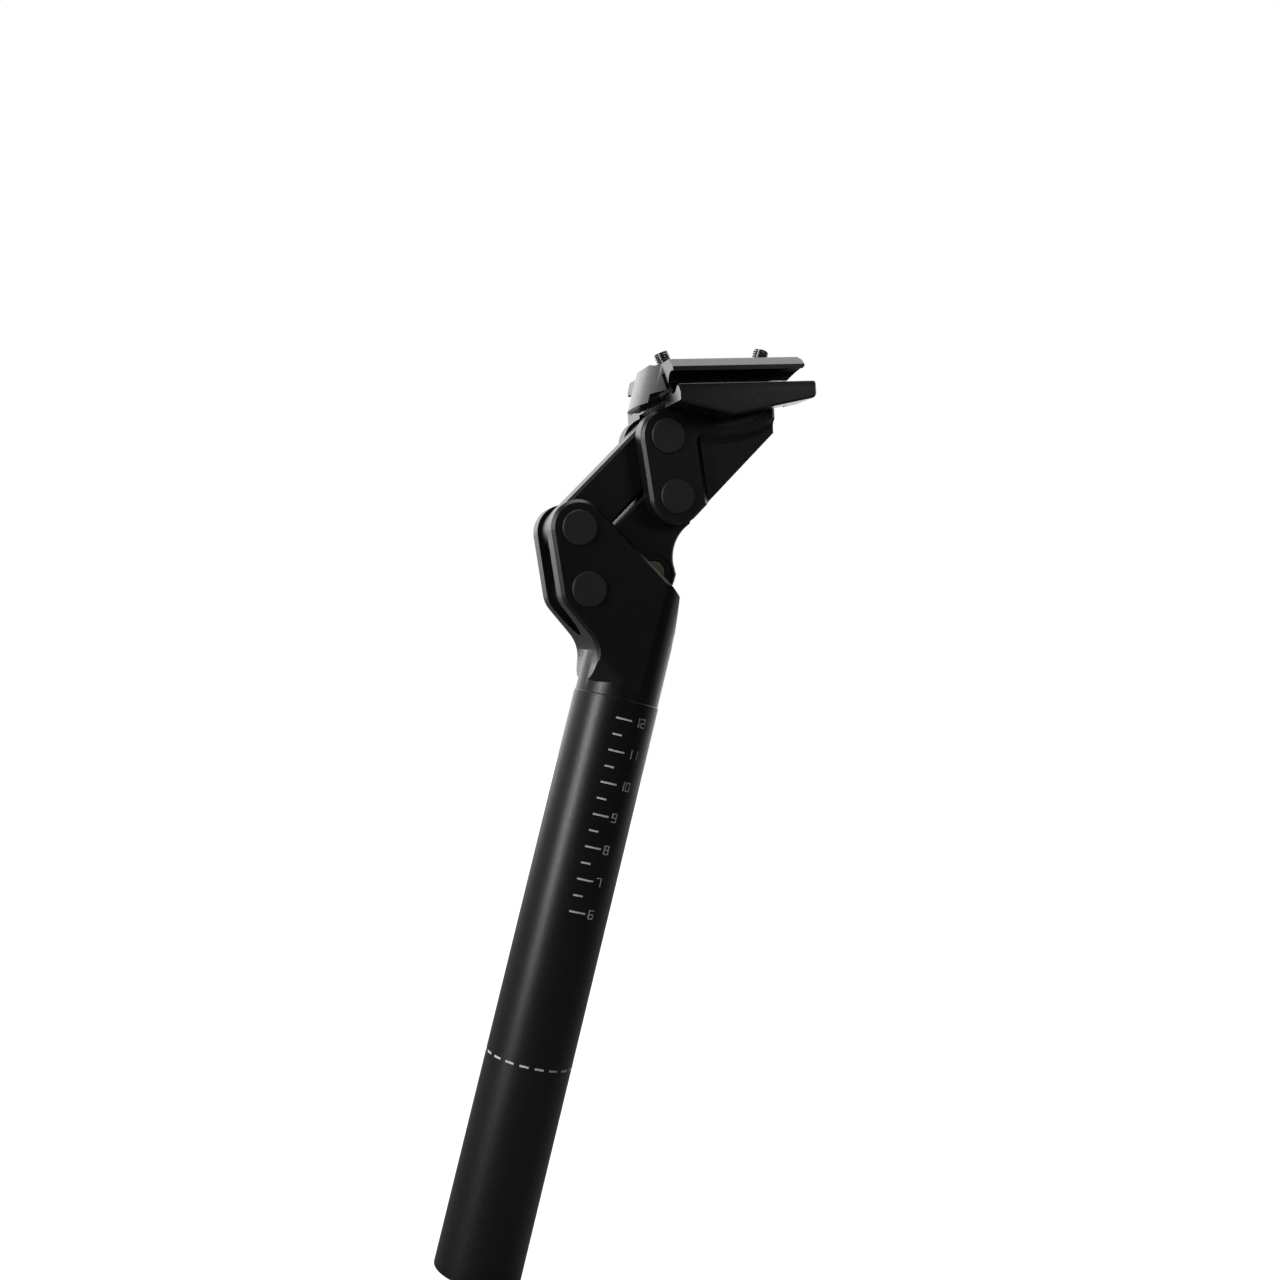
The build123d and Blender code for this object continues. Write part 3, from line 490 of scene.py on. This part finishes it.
STROKES = {
    "top": (0.0, 1.0, 1.0, 0.0), "middle": (0.0, 0.0, 1.0, 0.0), "bottom": (0.0, -1.0, 1.0, 0.0),
    "upper_left": (-1.0, 0.5, 0.0, 1.0), "upper_right": (1.0, 0.5, 0.0, 1.0),
    "lower_left": (-1.0, -0.5, 0.0, 1.0), "lower_right": (1.0, -0.5, 0.0, 1.0),
}
DIGITS = {
    "0": ("top", "bottom", "upper_left", "upper_right", "lower_left", "lower_right"),
    "1": ("upper_right", "lower_right"),
    "2": ("top", "upper_right", "middle", "lower_left", "bottom"),
    "3": ("top", "upper_right", "middle", "lower_right", "bottom"),
    "4": ("upper_left", "upper_right", "middle", "lower_right"),
    "5": ("top", "upper_left", "middle", "lower_right", "bottom"),
    "6": ("top", "upper_left", "middle", "lower_left", "lower_right", "bottom"),
    "7": ("top", "upper_right", "lower_right"),
    "8": tuple(STROKES),
    "9": ("top", "upper_left", "upper_right", "middle", "lower_right", "bottom"),
}


def printed_digit(bm, digit, across, height):
    """One upright digit; the viewer's left is forward on this side of the tube."""
    for stroke in DIGITS[digit]:
        side, up, wide, tall = STROKES[stroke]
        printed_bar(
            bm, across - side * DIGIT_HALF_WIDTH, height + up * DIGIT_HALF_TALL,
            DIGIT_LINE + wide * 2 * DIGIT_HALF_WIDTH, DIGIT_LINE + tall * DIGIT_HALF_TALL)


def height_scale():
    """Ticks up the tube's left side, every second one longer and numbered."""
    detail = bpy.context.scene.seatpost_detail
    bm = bmesh.new()
    for place in range(detail.mark_count):
        height = detail.mark_bottom + place * detail.mark_step
        numbered = place % 2 == 0
        width = LONG_TICK if numbered else SHORT_TICK
        printed_bar(bm, TICK_FRONT - width / 2, height, width, TICK_TALL)
        if numbered:
            for spot, digit in enumerate(str(round(height * 100) - LABEL_OFFSET)):
                printed_digit(bm, digit, FIRST_DIGIT - DIGIT_STEP * spot, height)
    finished("height_scale", bm, finish_of("pale_print"), "post")


def insertion_line():
    """Dashed line round the tube: this much has to stay inside the frame."""
    detail = bpy.context.scene.seatpost_detail
    bm = bmesh.new()
    girth = 2 * pi * TUBE_RADIUS
    for dash in range(detail.insert_dashes):
        printed_bar(bm, girth * dash / detail.insert_dashes, detail.insert_line,
                    DASH_SHARE * girth / detail.insert_dashes, DASH_TALL)
    finished("insertion_line", bm, finish_of("pale_print"), "post")


class SEATPOST_OT_stage(bpy.types.Operator):
    """Set the floor, the soft lights and the camera"""
    bl_idname = "seatpost.stage"
    bl_label = "Stage"

    def execute(self, context):
        stage = context.scene.seatpost_stage
        make_floor(stage)
        make_world()
        make_lights(stage)
        make_camera(stage)
        context.scene.view_settings.view_transform = "Standard"
        return {"FINISHED"}


def make_floor(stage):
    bm = bmesh.new()
    bmesh.ops.create_circle(bm, cap_ends=True, segments=96, radius=stage.floor_radius)
    mesh = bpy.data.meshes.new("floor")
    bm.to_mesh(mesh)
    bm.free()
    material, tree, shader = new_material("floor")
    shader.inputs["Base Color"].default_value = (0.14, 0.14, 0.14, 1)
    shader.inputs["Roughness"].default_value = 0.9
    shader.inputs["Emission Color"].default_value = (1, 1, 1, 1)
    eye = tree.nodes.new("ShaderNodeLightPath")
    tree.links.new(eye.outputs["Is Camera Ray"], shader.inputs["Emission Strength"])
    mesh.materials.append(material)
    floor = link_object("floor", mesh)


def make_world():
    """White all round to the eye, brightest behind the post and dim towards the viewer."""
    world = bpy.data.worlds.new("studio")
    bpy.context.scene.world = world
    world.use_nodes = True
    tree = world.node_tree
    tree.nodes.clear()
    place = tree.nodes.new("ShaderNodeTexCoord")
    split = tree.nodes.new("ShaderNodeSeparateXYZ")
    tree.links.new(place.outputs["Generated"], split.inputs["Vector"])
    sweep = tree.nodes.new("ShaderNodeMapRange")
    sweep.interpolation_type = "SMOOTHSTEP"
    sweep.inputs["From Min"].default_value = -0.85
    sweep.inputs["From Max"].default_value = 0.15
    sweep.inputs["To Min"].default_value = 2.0
    sweep.inputs["To Max"].default_value = 0.02
    tree.links.new(split.outputs["Y"], sweep.inputs["Value"])
    lit = tree.nodes.new("ShaderNodeBackground")
    tree.links.new(sweep.outputs["Result"], lit.inputs["Strength"])
    seen = tree.nodes.new("ShaderNodeBackground")
    seen.inputs["Strength"].default_value = 1.0
    seen.inputs["Color"].default_value = (1, 1, 1, 1)
    eye = tree.nodes.new("ShaderNodeLightPath")
    mix = tree.nodes.new("ShaderNodeMixShader")
    output = tree.nodes.new("ShaderNodeOutputWorld")
    tree.links.new(eye.outputs["Is Camera Ray"], mix.inputs["Fac"])
    tree.links.new(lit.outputs["Background"], mix.inputs[1])
    tree.links.new(seen.outputs["Background"], mix.inputs[2])
    tree.links.new(mix.outputs["Shader"], output.inputs["Surface"])


def soft_light(name, place, aim, width, height, power):
    data = bpy.data.lights.new(name, "AREA")
    data.shape = "RECTANGLE"
    data.size = width
    data.size_y = height
    data.energy = power
    light = bpy.data.objects.new(name, data)
    bpy.context.scene.collection.objects.link(light)
    light.location = place
    light.rotation_euler = (Vector(aim) - Vector(place)).to_track_quat("-Z", "Y").to_euler()


def make_lights(stage):
    aim = (stage.aim_forward, 0, stage.aim_height)
    soft_light("front strip", (0.82, 0.34, 0.16), aim, 0.20, 0.9, 8.0)
    soft_light("overhead", (0.10, -0.20, 0.95), aim, 0.8, 0.8, 4.0)
    soft_light("far side", (0.42, -1.05, 0.22), aim, 0.55, 0.9, 1.2)
    soft_light("near fill", (-0.5, 0.9, 0.75), aim, 0.5, 0.5, 0.5)


def make_camera(stage):
    data = bpy.data.cameras.new("camera")
    data.lens = stage.lens
    data.sensor_width = 36.0
    data.clip_start = 0.01
    data.clip_end = 50.0
    camera = bpy.data.objects.new("camera", data)
    bpy.context.scene.collection.objects.link(camera)
    level = cos(stage.elevation)
    back = Vector((
        sin(stage.azimuth) * level, -cos(stage.azimuth) * level, sin(stage.elevation)))
    turn = (-back).to_track_quat("-Z", "Y").to_matrix().to_4x4()
    aim = Vector((stage.aim_forward, 0, stage.aim_height))
    eye = Matrix.Translation(aim + back * stage.distance)
    camera.matrix_world = eye @ turn @ Matrix.Rotation(stage.roll, 4, "Z")
    bpy.context.scene.camera = camera


class SEATPOST_PT_panel(bpy.types.Panel):
    bl_idname = "SEATPOST_PT_panel"
    bl_label = "Suspension seatpost"
    bl_space_type = "VIEW_3D"
    bl_region_type = "UI"
    bl_category = "Seatpost"

    def draw(self, context):
        for operator in OPERATORS:
            self.layout.operator(operator.bl_idname)
        for group in ("seatpost_finish", "seatpost_detail", "seatpost_stage"):
            settings = getattr(context.scene, group)
            box = self.layout.box()
            for name in settings.bl_rna.properties.keys():
                if name not in ("rna_type", "name"):
                    box.prop(settings, name)


GROUPS = {
    "seatpost_finish": SeatpostFinish,
    "seatpost_detail": SeatpostDetail,
    "seatpost_stage": SeatpostStage,
}
OPERATORS = (
    SEATPOST_OT_plain_finishes, SEATPOST_OT_machined, SEATPOST_OT_clamp_bolts, SEATPOST_OT_marks,
    SEATPOST_OT_stage)


def register():
    for name, group in GROUPS.items():
        bpy.utils.register_class(group)
        setattr(bpy.types.Scene, name, PointerProperty(type=group))
    for cls in (*OPERATORS, SEATPOST_PT_panel):
        bpy.utils.register_class(cls)


def unregister():
    for cls in reversed((*OPERATORS, SEATPOST_PT_panel)):
        bpy.utils.unregister_class(cls)
    for name, group in reversed(GROUPS.items()):
        delattr(bpy.types.Scene, name)
        bpy.utils.unregister_class(group)


def main():
    register()
    bpy.ops.seatpost.plain_finishes()
    bpy.ops.seatpost.machined()
    bpy.ops.seatpost.clamp_bolts()
    bpy.ops.seatpost.marks()
    bpy.ops.seatpost.stage()


if __name__ == "__main__":
    main()
